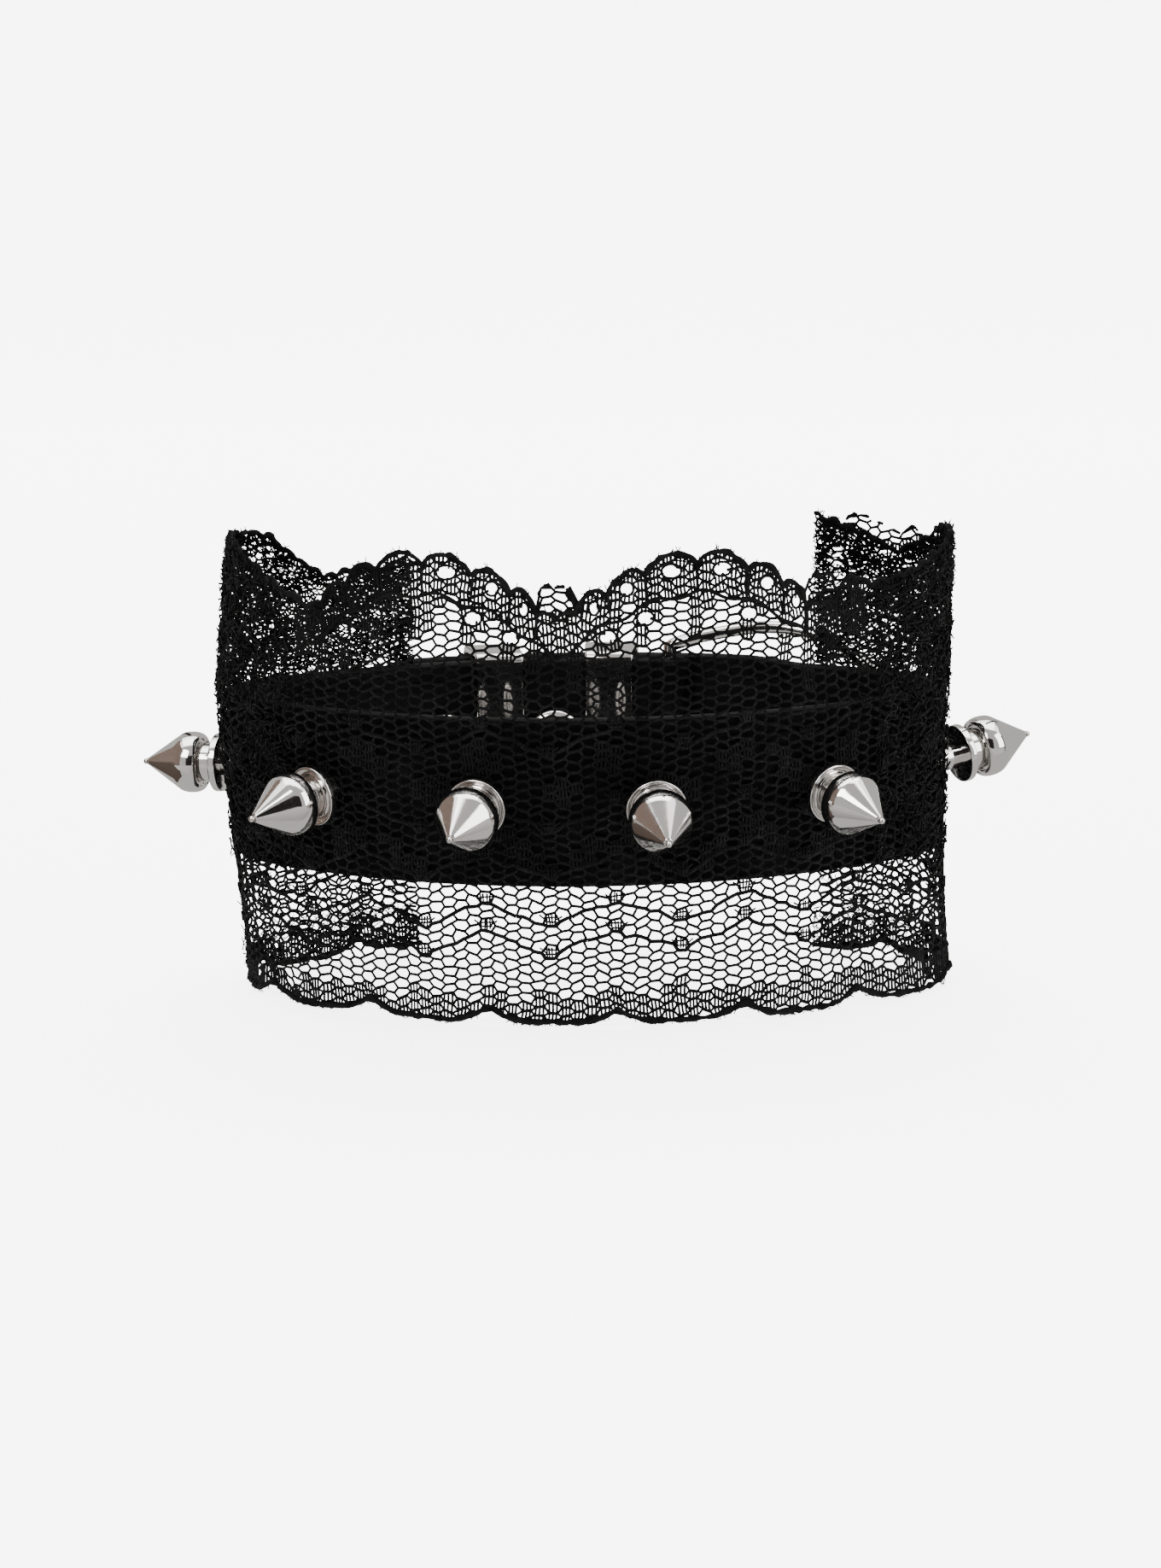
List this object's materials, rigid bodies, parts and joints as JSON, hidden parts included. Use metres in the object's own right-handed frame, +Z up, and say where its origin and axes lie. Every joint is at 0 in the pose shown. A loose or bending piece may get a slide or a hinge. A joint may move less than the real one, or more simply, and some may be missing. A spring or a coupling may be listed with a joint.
{
  "type": "lace cuff",
  "caption": "Oval wrist cuff: a buckled leather strap under a wide band of scalloped galloon lace, with screwed metal cone spikes round it",
  "frame": {"origin": "On the surface that the cuff stands on, under the middle of its bounding box", "axes": "+X is to the right seen from the front, -Y is the front with the four front spikes, +Y is the buckle, +Z is up along the wrist"},
  "size_m": [0.1036, 0.0582, 0.0529],
  "materials": {
    "strap_leather": "black coated leather with a fine grain and a dull sheen",
    "lace_thread": "matt black cotton and nylon thread",
    "spike_metal": "bright nickel plating, a little mottled",
    "screw_metal": "nickel-plated screw head",
    "buckle_metal": "nickel-plated wire and strip"
  },
  "bodies": {
    "root": {"strap": "strap_leather", "lace": "lace_thread", "spike_1": "spike_metal", "spike_2": "spike_metal", "spike_3": "spike_metal", "spike_4": "spike_metal", "spike_5": "spike_metal", "spike_6": "spike_metal", "screw_1": "screw_metal", "screw_2": "screw_metal", "screw_3": "screw_metal", "screw_4": "screw_metal", "screw_5": "screw_metal", "screw_6": "screw_metal", "rivet_1": "buckle_metal", "rivet_2": "buckle_metal", "buckle_frame": "buckle_metal", "buckle_prong": "buckle_metal", "keeper_1": "buckle_metal", "keeper_2": "buckle_metal"}
  },
  "joints": []
}
